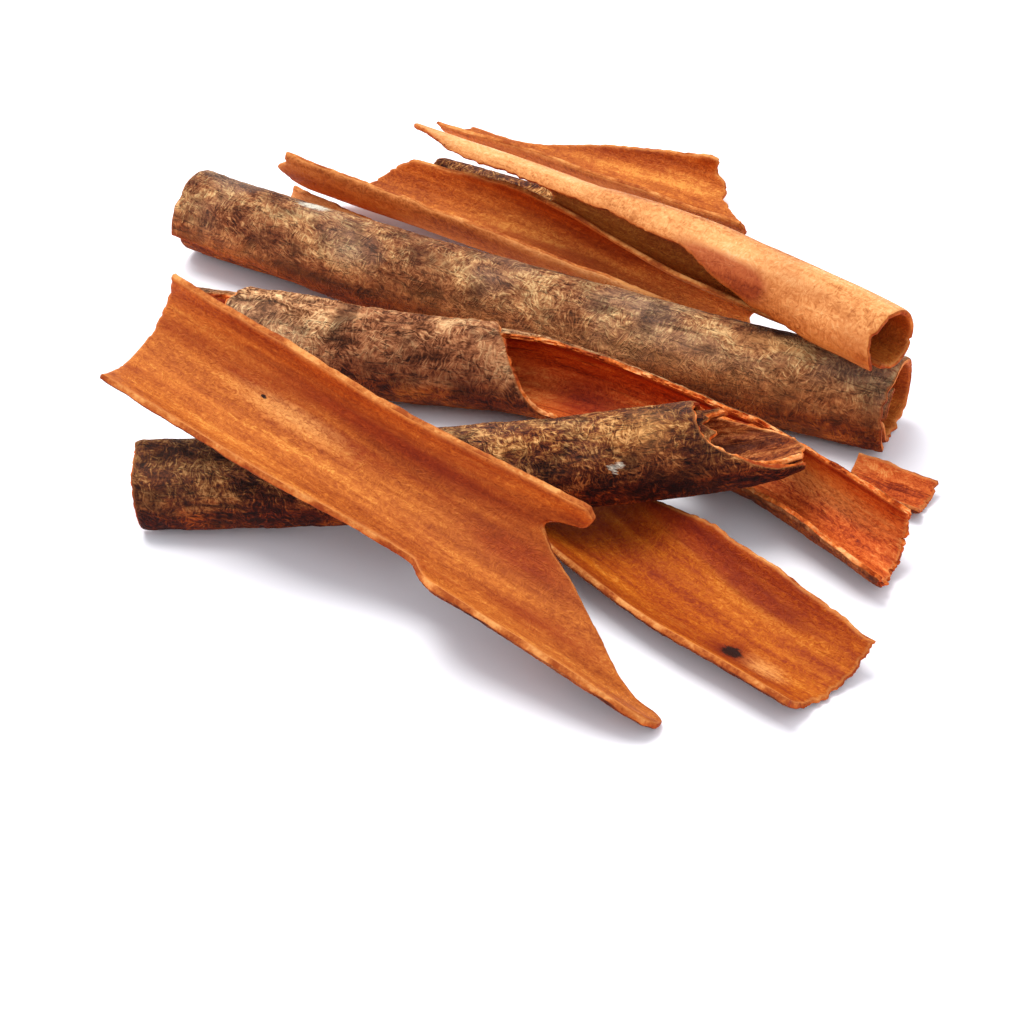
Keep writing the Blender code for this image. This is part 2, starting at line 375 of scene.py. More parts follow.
def bark_mesh(p, outer_relief, inner_relief):
    """One closed mesh of both faces and the rim, with the numbers that the materials read at each point."""
    outer, inner, numbers = lay_faces(p, outer_relief, inner_relief)
    outer, inner = outer.reshape(-1, 3), inner.reshape(-1, 3)
    count = len(outer)
    grid = np.arange(count).reshape(numbers["to_rim"][0].shape)
    edge = loop_round(grid)
    rings = rim_rings(p, outer[edge], inner[edge])
    faces, kinds = quads_of(grid, edge)
    mesh = bpy.data.meshes.new(p.name)
    mesh.from_pydata(np.concatenate([outer, inner] + rings) * MM, [], faces)
    mesh.polygons.foreach_set("material_index", kinds.astype(np.int32))
    ring_depths = np.repeat(np.arange(1, RIM_RINGS + 1) / (RIM_RINGS + 1), len(edge))
    write_attribute(mesh, "depth", "FLOAT", np.concatenate([np.zeros(count), np.ones(count), ring_depths]))
    types = {"grain": "FLOAT_VECTOR", "to_rim": "FLOAT", "height": "FLOAT", "marks": "FLOAT_COLOR"}
    for name, kind in types.items():
        first, second = (values.reshape(count, -1) for values in numbers[name])
        write_attribute(mesh, name, kind, np.concatenate([first, second] + [first[edge]] * RIM_RINGS))
    mesh.shade_smooth()
    mesh.set_sharp_from_angle(angle=SMOOTH_UP_TO)
    mesh.update()
    return mesh


def lay_bark(p, reliefs, materials):
    """The finished piece, riding on the heap's one body in the place of its plain node."""
    mesh = bark_mesh(p, *reliefs)
    for material in materials:
        mesh.materials.append(material)
    piece = bpy.data.objects.new(p.name + "_bark", mesh)
    bpy.context.scene.collection.objects.link(piece)
    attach(piece, "root")
    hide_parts(p.name)
    heights = np.array([corner[2] for corner in piece.bound_box]) / MM
    print(p.name, len(mesh.polygons), "faces, z", heights.min().round(2), "to", heights.max().round(2))
    return piece


# %% [markdown]
# Two helpers serve every material. One turns a colour written as sRGB hex into the linear numbers that a
# shader wants, and the other adds a node with its settings, values and links in one line.


# %% Colours and nodes
def linear(colour):
    """The linear RGBA of an sRGB colour: ((c + 0.055) / 1.055) ^ 2.4 above the dark toe."""
    shares = [int(colour[i : i + 2], 16) / 255 for i in (1, 3, 5)]
    return [c / 12.92 if c <= 0.04045 else ((c + 0.055) / 1.055) ** 2.4 for c in shares] + [1]


def add(tree, kind, inputs={}, stops=(), **settings):
    """A node of that kind. inputs maps a socket's name or number to a value, a hex colour or a link."""
    made = tree.nodes.new(kind)
    for name, value in settings.items():
        setattr(made, name, value)
    for key, value in inputs.items():
        if isinstance(value, bpy.types.NodeSocket):
            tree.links.new(value, made.inputs[key])
        else:
            made.inputs[key].default_value = linear(value) if isinstance(value, str) else value
    for place, colour in stops:
        elements = made.color_ramp.elements
        used = place in (stops[0][0], stops[-1][0])
        stop = elements[0 if place == stops[0][0] else -1] if used else elements.new(place)
        stop.position = place
        stop.color = linear(colour)
    return made


print("mid grey in linear:", linear("#808080"))

# %% [markdown]
# Bark of every kind has short brushed strokes on it: threads of lichen and cork outside, flakes of the
# growing layer inside. They run every way, yet lie in locks, where all go one way. So there are three felts
# of long narrow cells, each turned to its own angle, and each shows where a broad noise lets it through.
# Drawing each thread would take a curve and a place for each, while a felt fills any surface evenly.

# %% Brushed strokes
STROKE_TURNS = (72, 108, 25)


def brushed_strokes(tree, grain, length, width):
    """From 0 to 1: the largest of three felts, each a noise with cells of length by width, times its lock."""
    bend = add(tree, "ShaderNodeTexNoise", {"Vector": grain, "Scale": 0.7 / length, "Detail": 1}).outputs[1]
    reach = (1.1 * length, 1.1 * length, 0)
    bend = add(tree, "ShaderNodeVectorMath", {0: bend, 1: reach}, operation="MULTIPLY").outputs[0]
    bent = add(tree, "ShaderNodeVectorMath", {0: grain, 1: bend}, operation="ADD").outputs[0]
    strokes = 0.0
    for turn in STROKE_TURNS:
        apart = (0, 0, turn)
        wanted = {0: bent, "Location": apart, "Rotation": (0, 0, math.radians(turn))}
        wanted["Scale"] = (length, width, 1)
        turned = add(tree, "ShaderNodeMapping", wanted, vector_type="TEXTURE").outputs[0]
        felt = add(tree, "ShaderNodeTexNoise", {"Vector": turned, "Scale": 1, "Detail": 1}).outputs[0]
        felt = add(tree, "ShaderNodeMapRange", {0: felt, 1: 0.42, 2: 0.68}, clamp=True).outputs[0]
        moved = add(tree, "ShaderNodeVectorMath", {0: grain, 1: apart}, operation="ADD").outputs[0]
        broad = {"Vector": moved, "Scale": 0.45 / length, "Detail": 2}
        lock = add(tree, "ShaderNodeTexNoise", broad).outputs[0]
        lock = add(tree, "ShaderNodeMapRange", {0: lock, 1: 0.4, 2: 0.6}, clamp=True).outputs[0]
        shown = add(tree, "ShaderNodeMath", {0: felt, 1: lock}, operation="MULTIPLY").outputs[0]
        strokes = add(tree, "ShaderNodeMath", {0: shown, 1: strokes}, operation="MAXIMUM").outputs[0]
    return strokes


print("felts of strokes:", len(STROKE_TURNS))

# %% [markdown]
# Each bark colour is multiplied by a tint that depends on how far the surface faces up. This is painted
# shade: the flanks, level or facing down, turn darker and redder, and what faces up keeps its colour.

# %% What all finishes share
DRY_PLANT_IOR = 1.45


def painted_flank_shade(tree, colour, flank):
    """Painted shade: the colour times a tint, the flank hex where the normal is level or points down, white
    where up.
    """
    up = add(tree, "ShaderNodeNewGeometry").outputs["Normal"]
    up = add(tree, "ShaderNodeSeparateXYZ", {0: up}).outputs[2]
    up = add(tree, "ShaderNodeMapRange", {0: up, 1: -0.1, 2: 0.85}, clamp=True).outputs[0]
    tint = add(tree, "ShaderNodeMix", {0: up, 6: flank, 7: "#ffffff"}, data_type="RGBA").outputs[2]
    mixed = {0: 1.0, 6: colour, 7: tint}
    return add(tree, "ShaderNodeMix", mixed, data_type="RGBA", blend_type="MULTIPLY").outputs[2]


def dry_finish(name, roughness, specular):
    """A new material and its shader, with a constant roughness, IOR and specular level."""
    material = bpy.data.materials.new(name)
    material.use_nodes = True
    shader = material.node_tree.nodes["Principled BSDF"]
    shader.inputs["Roughness"].default_value = roughness
    shader.inputs["IOR"].default_value = DRY_PLANT_IOR
    shader.inputs["Specular IOR Level"].default_value = specular
    return material, shader


def close_finish(tree, shader, colour, height, reach, strength):
    """The colour and a bump go to the shader. A height of 1 stands out by reach, in metres."""
    bump = add(tree, "ShaderNodeBump", {"Height": height, "Distance": reach, "Strength": strength})
    tree.links.new(colour, shader.inputs["Base Color"])
    tree.links.new(bump.outputs[0], shader.inputs["Normal"])


def mark_kinds(tree):
    """The strengths of the four kinds of mark at a point: pale, dark, gold and red, each from 0 to 1."""
    marks = add(tree, "ShaderNodeAttribute", attribute_name="marks").outputs
    split = add(tree, "ShaderNodeSeparateColor", {0: marks["Color"]}).outputs
    return split[0], split[1], split[2], marks["Alpha"]


print("refractive index of dry plant matter:", DRY_PLANT_IOR)

# %% [markdown]
# Outer bark is cork, weathered on the tree. What the eye gets from it: a dense felt of short pale
# strokes 2 mm long and half a millimetre wide, on red-brown with small dark gaps, in patches some 6 mm
# long that are darker or paler, thin dark cracks along the stick, and no shine.

# %% Pattern of the cork
CORK_STROKE = (2.2, 0.55)
PATCHES_PER_MM = 0.16
GRIT_PER_MM = 0.8
AREAS_PER_MM = 0.06
CRACKS_PER_MM = (0.07, 0.5, 1)
CORK_STOPS = (0.26, 0.39, 0.49, 0.59, 0.72)


def cork_pattern(tree, grain, long, shades):
    """The colours at 0.6 patches + 0.75 grit + 0.27 strokes - 0.245, a number around 0.5; grit; strokes."""
    patchy = {"Vector": long, "Scale": PATCHES_PER_MM, "Detail": 3}
    patches = add(tree, "ShaderNodeTexNoise", patchy).outputs[0]
    gritty = {"Vector": long, "Scale": GRIT_PER_MM, "Detail": 5, "Roughness": 0.7, "Distortion": 0.8}
    grit = add(tree, "ShaderNodeTexNoise", gritty).outputs[0]
    strokes = brushed_strokes(tree, grain, *CORK_STROKE)
    shade = add(tree, "ShaderNodeMath", {0: patches, 1: 0.6, 2: -0.245}, operation="MULTIPLY_ADD").outputs[0]
    shade = add(tree, "ShaderNodeMath", {0: grit, 1: 0.75, 2: shade}, operation="MULTIPLY_ADD").outputs[0]
    shade = add(tree, "ShaderNodeMath", {0: strokes, 1: 0.27, 2: shade}, operation="MULTIPLY_ADD").outputs[0]
    colour = add(tree, "ShaderNodeValToRGB", {0: shade}, stops=list(zip(CORK_STOPS, shades))).outputs[0]
    return colour, grit, strokes


def cork_cracks(tree, grain):
    """From 0 to 0.75: thin lines along the stick, where a long thin noise passes through 0.46."""
    thin = add(tree, "ShaderNodeVectorMath", {0: grain, 1: CRACKS_PER_MM}, operation="MULTIPLY").outputs[0]
    crack = add(tree, "ShaderNodeTexNoise", {"Vector": thin, "Scale": 1, "Detail": 4, "Distortion": 0.5})
    crack = add(tree, "ShaderNodeMath", {0: crack.outputs[0], 1: 0.46}, operation="SUBTRACT").outputs[0]
    crack = add(tree, "ShaderNodeMath", {0: crack}, operation="ABSOLUTE").outputs[0]
    wanted = {0: crack, 1: 0.0, 2: 0.012, 3: 0.75, 4: 0.0}
    return add(tree, "ShaderNodeMapRange", wanted, clamp=True).outputs[0]


def soft_areas(tree, long, colour, grey):
    """The colour times red-brown where a broad noise is low, and mixed with dusty grey where it is high."""
    areas = add(tree, "ShaderNodeTexNoise", {"Vector": long, "Scale": AREAS_PER_MM, "Detail": 2}).outputs[0]
    red = add(tree, "ShaderNodeMapRange", {0: areas, 1: 0.5, 2: 0.36, 4: 0.6}, clamp=True).outputs[0]
    mixed = {0: red, 6: colour, 7: "#b07a62"}
    colour = add(tree, "ShaderNodeMix", mixed, data_type="RGBA", blend_type="MULTIPLY").outputs[2]
    dusty = add(tree, "ShaderNodeMapRange", {0: areas, 1: 0.52, 2: 0.68, 4: grey}, clamp=True).outputs[0]
    return add(tree, "ShaderNodeMix", {0: dusty, 6: colour, 7: "#8a7a6b"}, data_type="RGBA").outputs[2]


print("a stroke on the cork is", CORK_STROKE, "mm")


# %% Marks on the cork
DAMP = "#7d5a48"
GOLDEN_CORK = "#cb9054"
WOOD_BENEATH = "#b06a34"
LICHEN = "#e2dac6"


def marked_cork(tree, colour, darkest, grit, dark, gold, red):
    """The colour, darkest in knots, with painted shade in sunk relief, browner where damp, golden in the
    pattern of the grit.
    """
    relief = add(tree, "ShaderNodeAttribute", attribute_name="height").outputs["Fac"]
    # Painted shade: sunk relief is darkened towards the darkest shade.
    sunk = add(tree, "ShaderNodeMapRange", {0: relief, 1: -0.1, 2: -0.3, 4: 0.65}, clamp=True).outputs[0]
    colour = add(tree, "ShaderNodeMix", {0: sunk, 6: colour, 7: darkest}, data_type="RGBA").outputs[2]
    colour = add(tree, "ShaderNodeMix", {0: dark, 6: colour, 7: darkest}, data_type="RGBA").outputs[2]
    damp = add(tree, "ShaderNodeMath", {0: red, 1: 0.65}, operation="MULTIPLY").outputs[0]
    mixed = {0: damp, 6: colour, 7: DAMP}
    colour = add(tree, "ShaderNodeMix", mixed, data_type="RGBA", blend_type="MULTIPLY").outputs[2]
    golden = add(tree, "ShaderNodeMath", {0: grit, 1: 1.6, 2: -0.3}, operation="MULTIPLY_ADD").outputs[0]
    golden = add(tree, "ShaderNodeMath", {0: gold, 1: golden}, operation="MULTIPLY").outputs[0]
    golden = add(tree, "ShaderNodeMath", {0: golden, 1: 0.8}, operation="MULTIPLY").outputs[0]
    return add(tree, "ShaderNodeMix", {0: golden, 6: colour, 7: GOLDEN_CORK}, data_type="RGBA").outputs[2]


def worn_to_wood(tree, colour, grit):
    """The wood beneath where mm to the rim + 1.6 grit is under 0.8, fading out at 1.4."""
    rim = add(tree, "ShaderNodeAttribute", attribute_name="to_rim").outputs["Fac"]
    worn = add(tree, "ShaderNodeMath", {0: grit, 1: 1.6, 2: rim}, operation="MULTIPLY_ADD").outputs[0]
    worn = add(tree, "ShaderNodeMapRange", {0: worn, 1: 0.8, 2: 1.4, 3: 0.7, 4: 0.0}, clamp=True).outputs[0]
    return add(tree, "ShaderNodeMix", {0: worn, 6: colour, 7: WOOD_BENEATH}, data_type="RGBA").outputs[2]


def lichen_spots(tree, colour, pale, grit):
    """Cream where pale times grit passes 0.2 to 0.38, so that the spots have ragged edges."""
    edge = add(tree, "ShaderNodeMath", {0: pale, 1: grit}, operation="MULTIPLY").outputs[0]
    spot = add(tree, "ShaderNodeMapRange", {0: edge, 1: 0.2, 2: 0.38, 4: 0.9}, clamp=True).outputs[0]
    return add(tree, "ShaderNodeMix", {0: spot, 6: colour, 7: LICHEN}, data_type="RGBA").outputs[2]


print("lichen in linear:", np.round(linear(LICHEN), 3))


# %% Weathered outer bark
def weathered_cork(name, shades, flank, grey):
    """shades are five colours from the dark gaps to the palest strokes, and grey is the share of dust.

    The bump's height is grit + 0.5 strokes - 0.5 cracks.
    """
    material, shader = dry_finish(name, roughness=0.85, specular=0.2)
    tree = material.node_tree
    grain = add(tree, "ShaderNodeAttribute", attribute_name="grain").outputs["Vector"]
    long = add(tree, "ShaderNodeVectorMath", {0: grain, 1: (0.6, 1, 1)}, operation="MULTIPLY").outputs[0]
    pale, dark, gold, red = mark_kinds(tree)
    colour, grit, strokes = cork_pattern(tree, grain, long, shades)
    crack = cork_cracks(tree, grain)
    colour = add(tree, "ShaderNodeMix", {0: crack, 6: colour, 7: shades[0]}, data_type="RGBA").outputs[2]
    colour = soft_areas(tree, long, colour, grey)
    colour = marked_cork(tree, colour, shades[0], grit, dark, gold, red)
    colour = worn_to_wood(tree, colour, grit)
    # Painted shade: the flanks darker and redder than the tops.
    colour = painted_flank_shade(tree, colour, flank)
    colour = lichen_spots(tree, colour, pale, grit)
    height = add(tree, "ShaderNodeMath", {0: strokes, 1: 0.5, 2: grit}, operation="MULTIPLY_ADD").outputs[0]
    height = add(tree, "ShaderNodeMath", {0: crack, 1: -0.5, 2: height}, operation="MULTIPLY_ADD").outputs[0]
    close_finish(tree, shader, colour, height, reach=0.001, strength=0.9)
    return material


print("shades of cork meet at", CORK_STOPS)

# %% [markdown]
# The inner face lay against the wood of the branch. It is smooth and orange-brown, in soft bands along the
# grain, and covered with fine flakes a millimetre across. Where the sheet folds or lay damp it is stained
# red. It has a faint silky light on it, so its roughness is lower than the cork's.

# %% Pattern of the inner face
INNER_STROKE = (1.8, 0.42)
BANDS_PER_MM = (0.022, 0.2, 1)
FLAKES_PER_MM = (0.6, 1.1, 1)
STAINS_PER_MM = (0.03, 0.12, 1)
LINES_PER_MM = (0.018, 0.5, 1)
INNER_STOPS = (0.3, 0.41, 0.5, 0.59, 0.72)


def inner_pattern(tree, grain, shades):
    """The colours at 0.8 bands + 0.6 flakes + 0.1 strokes - 0.23, a number around 0.5; flakes; strokes."""
    banded = add(tree, "ShaderNodeVectorMath", {0: grain, 1: BANDS_PER_MM}, operation="MULTIPLY").outputs[0]
    wanted = {"Vector": banded, "Scale": 1, "Detail": 4, "Roughness": 0.55}
    bands = add(tree, "ShaderNodeTexNoise", wanted).outputs[0]
    flaky = add(tree, "ShaderNodeVectorMath", {0: grain, 1: FLAKES_PER_MM}, operation="MULTIPLY").outputs[0]
    wanted = {"Vector": flaky, "Scale": 1, "Detail": 4, "Roughness": 0.65, "Distortion": 1.2}
    flakes = add(tree, "ShaderNodeTexNoise", wanted).outputs[0]
    strokes = brushed_strokes(tree, grain, *INNER_STROKE)
    shade = add(tree, "ShaderNodeMath", {0: bands, 1: 0.8, 2: -0.23}, operation="MULTIPLY_ADD").outputs[0]
    shade = add(tree, "ShaderNodeMath", {0: flakes, 1: 0.6, 2: shade}, operation="MULTIPLY_ADD").outputs[0]
    shade = add(tree, "ShaderNodeMath", {0: strokes, 1: 0.1, 2: shade}, operation="MULTIPLY_ADD").outputs[0]
    colour = add(tree, "ShaderNodeValToRGB", {0: shade}, stops=list(zip(INNER_STOPS, shades))).outputs[0]
    return colour, flakes, strokes


def damp_stains(tree, grain, colour, stain, share):
    """The colour mixed with the stain by up to share, where a noise in long soft cells passes 0.5 to 0.7."""
    damp = add(tree, "ShaderNodeVectorMath", {0: grain, 1: STAINS_PER_MM}, operation="MULTIPLY").outputs[0]
    wanted = {"Vector": damp, "Scale": 1, "Detail": 4, "Distortion": 0.4}
    damp = add(tree, "ShaderNodeTexNoise", wanted).outputs[0]
    damp = add(tree, "ShaderNodeMapRange", {0: damp, 1: 0.5, 2: 0.7, 4: share}, clamp=True).outputs[0]
    return add(tree, "ShaderNodeMix", {0: damp, 6: colour, 7: stain}, data_type="RGBA").outputs[2]


def drying_splits(tree, grain, share):
    """From 0 to share: a few thin lines along the grain, where a long thin noise passes through 0.4."""
    fine = add(tree, "ShaderNodeVectorMath", {0: grain, 1: LINES_PER_MM}, operation="MULTIPLY").outputs[0]
    wanted = {"Vector": fine, "Scale": 1, "Detail": 2, "Distortion": 0.3}
    split = add(tree, "ShaderNodeTexNoise", wanted).outputs[0]
    split = add(tree, "ShaderNodeMath", {0: split, 1: 0.4}, operation="SUBTRACT").outputs[0]
    split = add(tree, "ShaderNodeMath", {0: split}, operation="ABSOLUTE").outputs[0]
    wanted = {0: split, 1: 0.0, 2: 0.01, 3: share, 4: 0.0}
    return add(tree, "ShaderNodeMapRange", wanted, clamp=True).outputs[0]


print("a stroke on the inner face is", INNER_STROKE, "mm")


# %% Marks on the inner face
GOLDEN_FLAKES = "#e29a54"
RED_FOLD_AND_SHADE = "#bd7a5c"
BLACK_KNOT = "#240b05"
HOLLOW_SHADE_RED = "#4a1404"
CREST_HIGHLIGHT = "#cf8444"


def marked_inner(tree, colour, flakes):
    """The colour with golden flakes round knots, red-brown folds and painted shade frayed by the flakes, and
    black knots.
    """
    _, dark, gold, red = mark_kinds(tree)
    golden = add(tree, "ShaderNodeMath", {0: flakes, 1: 1.6, 2: -0.3}, operation="MULTIPLY_ADD").outputs[0]
    golden = add(tree, "ShaderNodeMath", {0: gold, 1: golden}, operation="MULTIPLY").outputs[0]
    golden = add(tree, "ShaderNodeMapRange", {0: golden, 1: 0.08, 2: 0.6, 4: 0.8}, clamp=True).outputs[0]
    colour = add(tree, "ShaderNodeMix", {0: golden, 6: colour, 7: GOLDEN_FLAKES}, data_type="RGBA").outputs[2]
    # Red marks give fold stains, and painted shade where a piece lies under another.
    fold = add(tree, "ShaderNodeMath", {0: flakes, 1: 0.6, 2: -0.3}, operation="MULTIPLY_ADD").outputs[0]
    fold = add(tree, "ShaderNodeMath", {0: red, 1: fold}, operation="ADD").outputs[0]
    fold = add(tree, "ShaderNodeMapRange", {0: fold, 1: 0.2, 2: 0.9, 4: 0.85}, clamp=True).outputs[0]
    mixed = {0: fold, 6: colour, 7: RED_FOLD_AND_SHADE}
    colour = add(tree, "ShaderNodeMix", mixed, data_type="RGBA", blend_type="MULTIPLY").outputs[2]
    knot = add(tree, "ShaderNodeMath", {0: flakes, 1: 1.2, 2: dark}, operation="MULTIPLY_ADD").outputs[0]
    knot = add(tree, "ShaderNodeMapRange", {0: knot, 1: 1.0, 2: 1.25}, clamp=True).outputs[0]
    return add(tree, "ShaderNodeMix", {0: knot, 6: colour, 7: BLACK_KNOT}, data_type="RGBA").outputs[2]


def hollow_shade_and_crest_highlight(tree, colour):
    """Painted shade, dark red, in the deepest relief, and a painted highlight within 0.6 mm of a rim, which
    draws its thin bright crest.
    """
    relief = add(tree, "ShaderNodeAttribute", attribute_name="height").outputs["Fac"]
    # Painted shade: dark red in the deepest relief.
    sunk = add(tree, "ShaderNodeMapRange", {0: relief, 1: -0.17, 2: -0.45, 4: 0.8}, clamp=True).outputs[0]
    colour = add(tree, "ShaderNodeMix", {0: sunk, 6: colour, 7: HOLLOW_SHADE_RED}, data_type="RGBA").outputs[2]
    # Painted highlight: paler within 0.6 mm of a rim, a thin bright line along the edge.
    rim = add(tree, "ShaderNodeAttribute", attribute_name="to_rim").outputs["Fac"]
    crest = add(tree, "ShaderNodeMapRange", {0: rim, 1: 0.15, 2: 0.6, 3: 0.5, 4: 0.0}, clamp=True).outputs[0]
    return add(tree, "ShaderNodeMix", {0: crest, 6: colour, 7: CREST_HIGHLIGHT}, data_type="RGBA").outputs[2]


print("a knot in linear:", np.round(linear(BLACK_KNOT), 3))


# %% Inner bark
def dried_inner_bark(name, shades, stain, stain_share, flank, lines_share=0.35):
    """shades are five colours from the dark bands to the palest flakes. Stains and splits have the stain.

    The bump's height is flakes + 0.3 strokes - 0.6 splits.
    """
    material, shader = dry_finish(name, roughness=0.6, specular=0.18)
    tree = material.node_tree
    grain = add(tree, "ShaderNodeAttribute", attribute_name="grain").outputs["Vector"]
    colour, flakes, strokes = inner_pattern(tree, grain, shades)
    colour = damp_stains(tree, grain, colour, stain, stain_share)
    split = drying_splits(tree, grain, lines_share)
    colour = add(tree, "ShaderNodeMix", {0: split, 6: colour, 7: stain}, data_type="RGBA").outputs[2]
    colour = marked_inner(tree, colour, flakes)
    colour = hollow_shade_and_crest_highlight(tree, colour)
    # Painted shade: the flanks darker and redder than the tops.
    colour = painted_flank_shade(tree, colour, flank)
    height = add(tree, "ShaderNodeMath", {0: strokes, 1: 0.3, 2: flakes}, operation="MULTIPLY_ADD").outputs[0]
    height = add(tree, "ShaderNodeMath", {0: split, 1: -0.6, 2: height}, operation="MULTIPLY_ADD").outputs[0]
    close_finish(tree, shader, colour, height, reach=0.0004, strength=0.7)
    return material


print("shades of the inner face meet at", INNER_STOPS)

# %% [markdown]
# A torn rim shows the bark's own body: soft orange-tan fibre, a little redder in its hollows, and on the
# pieces that still have their cork, a thin dark skin along the outer side.

# %% Torn rim
FIBRES_PER_M = 1100
HOLLOWS_PER_M = 140


def torn_fibre(name, hollow, tan, pale, skin, flank, skin_depth):
    """hollow, tan and pale are the fibre's colours, and the skin covers a share skin_depth of the rim.

    The shade is a broad noise + 0.5 fine noise - 0.25, and the broad noise makes the skin's edge wavy too.
    """
    material, shader = dry_finish(name, roughness=0.85, specular=0.2)
    tree = material.node_tree
    place = add(tree, "ShaderNodeTexCoord").outputs["Object"]
    wanted = {"Vector": place, "Scale": FIBRES_PER_M, "Detail": 3, "Roughness": 0.6}
    fine = add(tree, "ShaderNodeTexNoise", wanted).outputs[0]
    broad = add(tree, "ShaderNodeTexNoise", {"Vector": place, "Scale": HOLLOWS_PER_M, "Detail": 2}).outputs[0]
    shade = add(tree, "ShaderNodeMath", {0: fine, 1: 0.5, 2: -0.25}, operation="MULTIPLY_ADD").outputs[0]
    shade = add(tree, "ShaderNodeMath", {0: broad, 1: shade}, operation="ADD").outputs[0]
    stops = [(0.34, hollow), (0.5, tan), (0.66, pale)]
    colour = add(tree, "ShaderNodeValToRGB", {0: shade}, stops=stops).outputs[0]
    depth = add(tree, "ShaderNodeAttribute", attribute_name="depth").outputs["Fac"]
    wavy = add(tree, "ShaderNodeMath", {0: broad, 1: 0.3, 2: depth}, operation="MULTIPLY_ADD").outputs[0]
    wanted = {0: wavy, 1: skin_depth + 0.1, 2: skin_depth + 0.25, 3: 0.85, 4: 0.0}
    cork = add(tree, "ShaderNodeMapRange", wanted, clamp=True).outputs[0]
    colour = add(tree, "ShaderNodeMix", {0: cork, 6: colour, 7: skin}, data_type="RGBA").outputs[2]
    # Painted shade: the flanks darker and redder than the tops.
    colour = painted_flank_shade(tree, colour, flank)
    close_finish(tree, shader, colour, fine, reach=0.0004, strength=0.7)
    return material


print("fibres are", round(1000 / FIBRES_PER_M, 2), "mm apart")

# %% The heap's finishes
# Tints of painted shade for the flanks: of brown cork, of dark cork, and of inner bark, peeled bark and rims.
BROWN_FLANK_SHADE = "#ee9b54"
SHADED = "#c67a3e"
ORANGE_FLANK_SHADE = "#ffc68e"
brown_cork = weathered_cork(
    "brown cassia cork", ("#2e1106", "#6e381a", "#98613b", "#b88252", "#ddb078"), BROWN_FLANK_SHADE, 0.4
)
dark_cork = weathered_cork(
    "dark cassia cork", ("#260c03", "#70401f", "#ab734b", "#d49d6b", "#f4c890"), SHADED, 0.3
)
darkest_cork = weathered_cork(
    "darkest cassia cork", ("#1a0501", "#451707", "#733717", "#a46833", "#e0a464"), SHADED, 0.12
)
orange_inner = dried_inner_bark(
    "orange inner bark", ("#84370a", "#9d4b15", "#b05c1e", "#c26d28", "#dc9240"), "#8c2e08", 0.5, ORANGE_FLANK_SHADE
)
golden_inner = dried_inner_bark(
    "golden inner bark", ("#7c2600", "#933802", "#a54a04", "#b65b0c", "#ce7a26"), "#7c2002", 0.4, ORANGE_FLANK_SHADE
)
red_inner = dried_inner_bark(
    "red inner bark", ("#782304", "#a8400e", "#c4581d", "#d67030", "#e89850"), "#6e1a04", 0.6, ORANGE_FLANK_SHADE, 0.8
)
frayed_layers = dried_inner_bark(
    "frayed brown layers", ("#300c03", "#64260b", "#8c4219", "#ac602d", "#d08c50"), "#300c03", 0.8, ORANGE_FLANK_SHADE,
    0.8,
)
peeled_tan = dried_inner_bark(
    "peeled tan bark", ("#94501e", "#bc743a", "#d28c50", "#de9e60", "#ecb880"), "#9a5020", 0.4, ORANGE_FLANK_SHADE
)
corky_rim = torn_fibre("torn rim under cork", "#8f431c", "#bd7038", "#d8955a", "#3a1c0e", ORANGE_FLANK_SHADE, 0.12)
frayed_rim = torn_fibre("frayed orange rim", "#8a3108", "#cf6a26", "#eba365", "#8a4a28", ORANGE_FLANK_SHADE, 0.02)
clean_rim = torn_fibre("torn rim of clean bark", "#8f4014", "#b5662c", "#d28e4e", "#96501f", ORANGE_FLANK_SHADE, 0.02)
print("finishes:", [material.name for material in bpy.data.materials])

ROUGH = (rough_bark, grained_bark)
PEELED = (peeled_bark, grained_bark)

# %% [markdown]
# The big quill lies at the back of the heap. It went once and a third round as it dried, and both lips lie
# out of sight. Lichen left a pale spot near its left end, and its underside there is yellow, with a crack.

# %% Big quill
big_quill = Sheet(
    "big_quill",
    1.8,
    start=(-82.8, 61.9, 10.3),
    end=(84.2, -17.6, 10.4),
    bow=-3.8,
    radius=10.3,
    near=120,
    far=[(0, 545), (0.15, 552), (0.35, 575), (1, 590)],
    step=2.4,
    step_from=450,
    phase=1,
    grid=0.7,
    marks=(
        ("pale", 34, 437, 5, 2), ("gold", 22, 548, 26, 4.5), ("dark", 40, 534, 17, 1.1),
        ("gold", 157.6, 464, 9, 2.2), ("gold", 75, 535, 20, 5), ("gold", 140, 530, 40, 6),
    ),
)
lay_bark(big_quill, ROUGH, (brown_cork, orange_inner, corky_rim))

# %% [markdown]
# The split quill is rolled on the left and broken open on the right, where its wall is gone above the
# middle and the deep red inside shows. The break is a slanting line that runs down the near wall.

# %% Split quill
split_quill = Sheet(
    "split_quill",
    1.9,
    start=(-82.1, 14.3, 10.7),
    end=(78.1, -67.6, 11.2),
    sway=[(0, 0), (0.25, 8.9), (0.5, 19.8), (0.75, 15.9), (1, 0)],
    radius=[(0, 9.2), (0.33, 9.35), (0.67, 8.4), (1, 8.6)],
    near=[
        (0, 70), (0.412, 76), (0.43, 98), (0.465, 148), (0.508, 200), (0.56, 203), (0.75, 186), (0.9, 186),
        (1, 194),
    ],
    far=[(0, 445), (0.4, 440), (0.5, 420), (0.75, 398), (1, 391)],
    step=-2.7,
    start_cut=[(0, 16), (0.25, 14), (0.6, 3), (1, 0)],
    phase=2,
    grid=0.55,
    ragged=(0.9, 0.55),
    fuzz=0.7,
    marks=(
        ("gold", 140, 225, 35, 4), ("gold", 152, 340, 28, 6),
        ("red", 140, 388, 45, 2), ("red", 96, 290, 9, 9),
    ),
)
lay_bark(split_quill, ROUGH, (dark_cork, red_inner, frayed_rim))

# %% [markdown]
# The dark quill lies across the split one. Its right end is torn open, so that the frayed layers inside
# show, and one long tongue of the outer layer stays. A white fleck of lichen sits on its near side.

